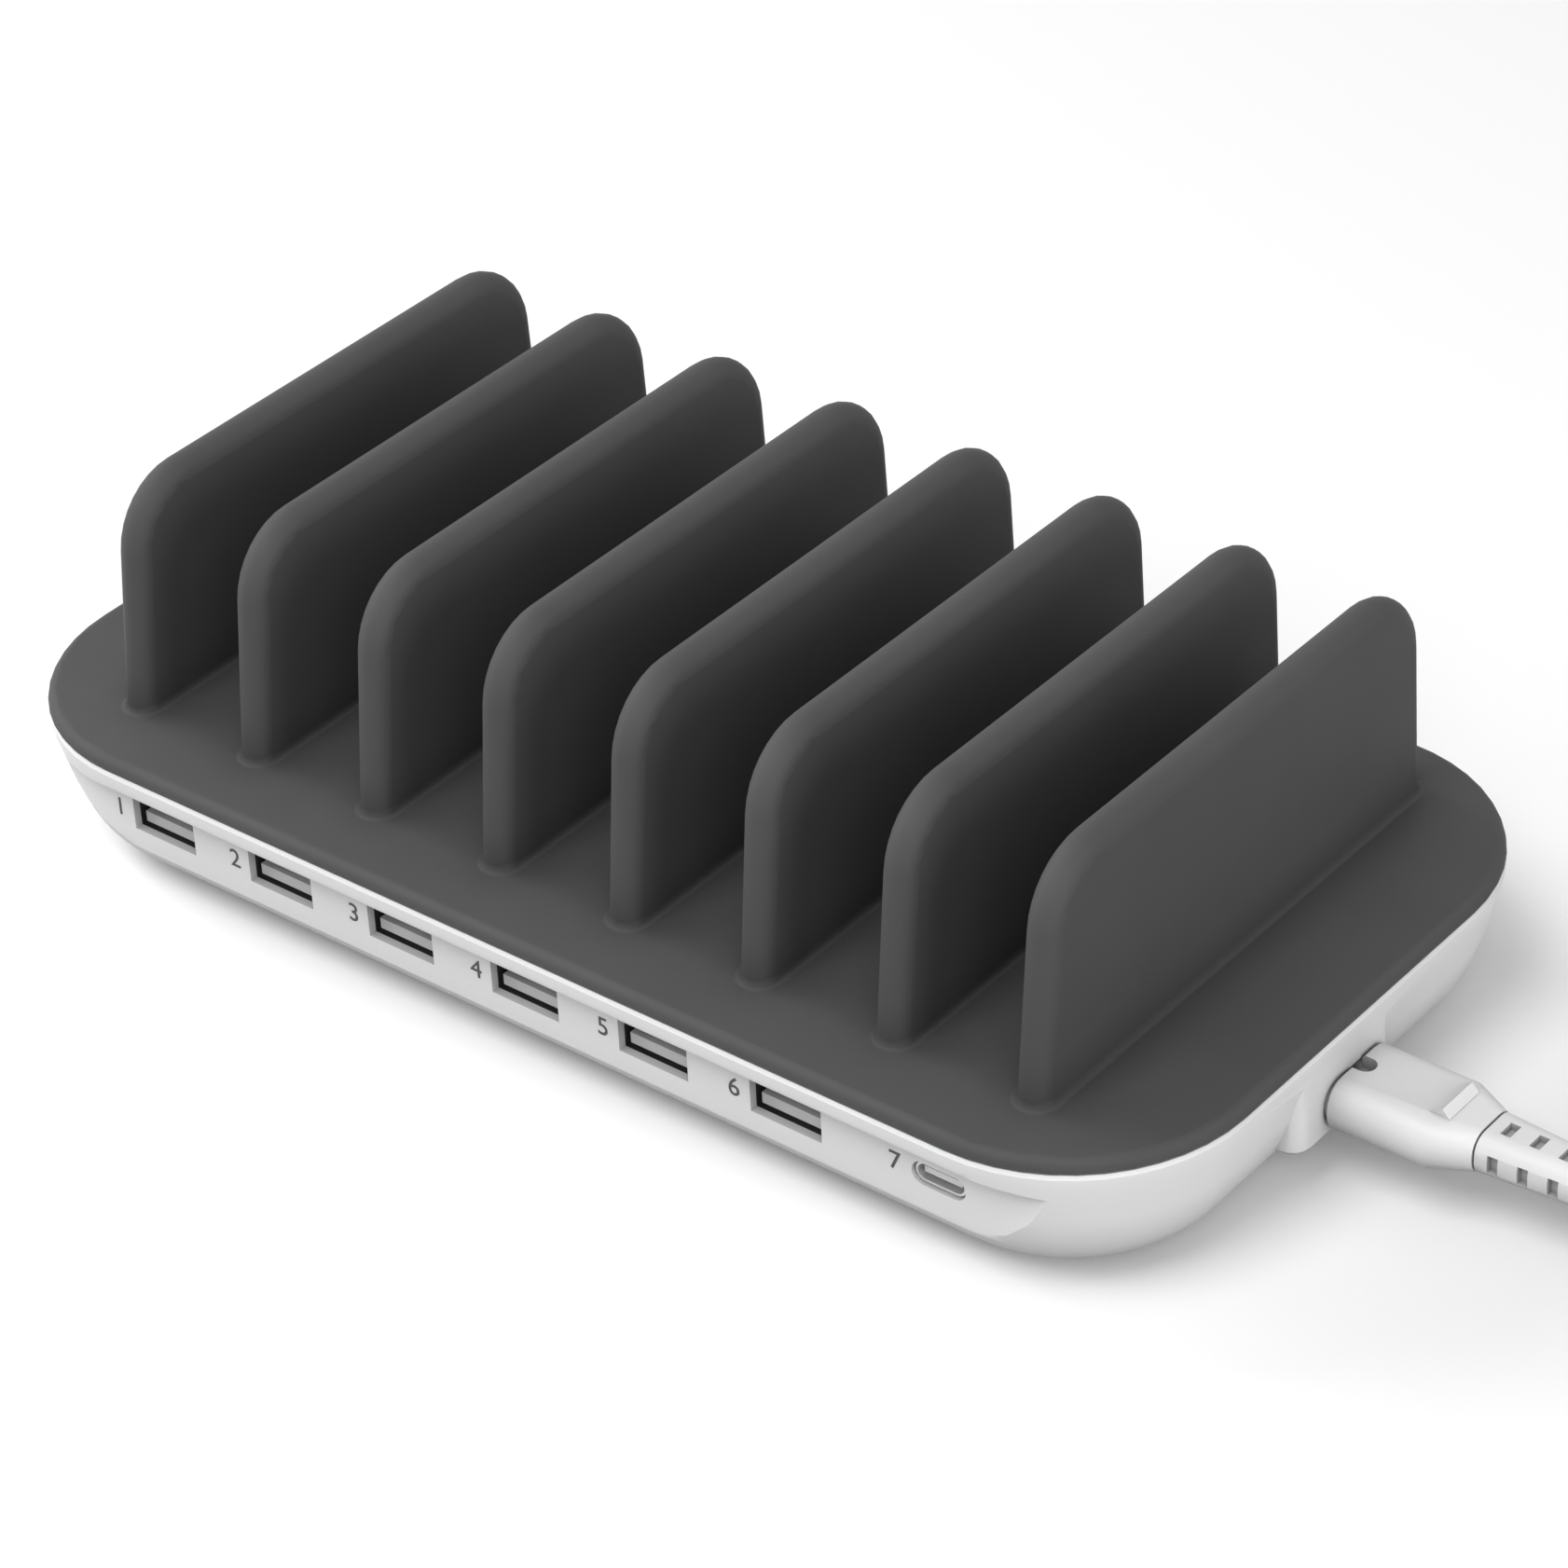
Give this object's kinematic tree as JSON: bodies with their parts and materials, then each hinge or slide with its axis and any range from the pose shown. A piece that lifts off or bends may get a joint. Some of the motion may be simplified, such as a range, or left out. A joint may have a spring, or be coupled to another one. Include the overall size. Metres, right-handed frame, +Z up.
{
  "type": "device charging station",
  "caption": "Desktop charging station with upright grey fins that part device bays, sockets along a white base and a detachable mains lead.",
  "frame": {"origin": "on the table plane, under the middle of the case", "axes": "+X along the row of bays towards the mains inlet, -Y towards the front sockets, +Z up"},
  "size_m": [0.3943, 0.1617, 0.0673],
  "materials": {
    "shell_white": "satin white moulded plastic",
    "deck_grey": "fine matt dark grey moulded plastic",
    "steel": "plated sheet steel",
    "tongue_plastic": "light grey plastic",
    "black_plastic": "black plastic",
    "board_green": "solder-masked glass-fibre board",
    "ferrite": "sintered ferrite",
    "winding_tape": "taped copper winding",
    "capacitor_can": "sleeved aluminium can",
    "aluminium": "bare aluminium",
    "fuse_glass": "glass tube with plated caps",
    "rubber": "soft rubber",
    "lead_white": "soft white moulded plastic",
    "plated_brass": "nickel-plated brass",
    "tie_black": "soft black plastic band"
  },
  "bodies": {
    "station": {"base_shell": "shell_white", "top_deck": "deck_grey", "usb_a_can_1": "steel", "usb_a_can_2": "steel", "usb_a_can_3": "steel", "usb_a_can_4": "steel", "usb_a_can_5": "steel", "usb_a_can_6": "steel", "usb_c_can": "steel", "case_screw_1": "steel", "case_screw_2": "steel", "case_screw_3": "steel", "case_screw_4": "steel", "board_screw_1": "steel", "board_screw_2": "steel", "board_screw_3": "steel", "board_screw_4": "steel", "inlet_pin_1": "steel", "inlet_pin_2": "steel", "usb_a_tongue_1": "tongue_plastic", "usb_a_tongue_2": "tongue_plastic", "usb_a_tongue_3": "tongue_plastic", "usb_a_tongue_4": "tongue_plastic", "usb_a_tongue_5": "tongue_plastic", "usb_a_tongue_6": "tongue_plastic", "usb_c_tongue": "tongue_plastic", "usb_c_riser": "black_plastic", "inlet_socket": "black_plastic", "main_board": "board_green", "transformer_core": "ferrite", "output_choke": "ferrite", "transformer_winding": "winding_tape", "bulk_capacitor_1": "capacitor_can", "bulk_capacitor_2": "capacitor_can", "output_capacitor_1": "capacitor_can", "output_capacitor_2": "capacitor_can", "output_capacitor_3": "capacitor_can", "heat_sink": "aluminium", "line_fuse": "fuse_glass", "foot_1": "rubber", "foot_2": "rubber", "foot_3": "rubber", "foot_4": "rubber"},
    "lead": {"lead_connector": "lead_white", "lead_strain_relief": "lead_white", "cord_run": "lead_white", "cord_coil": "lead_white", "cord_tail": "lead_white", "coil_tie": "tie_black", "plug_strain_relief": "lead_white", "wall_plug_body": "lead_white", "plug_blade_1": "plated_brass", "plug_blade_2": "plated_brass"}
  },
  "joints": [
    {"name": "lead_unplug", "type": "slide", "parent": "station", "child": "lead", "axis": [1, 0, 0], "range_m": [0, 0.02]}
  ]
}
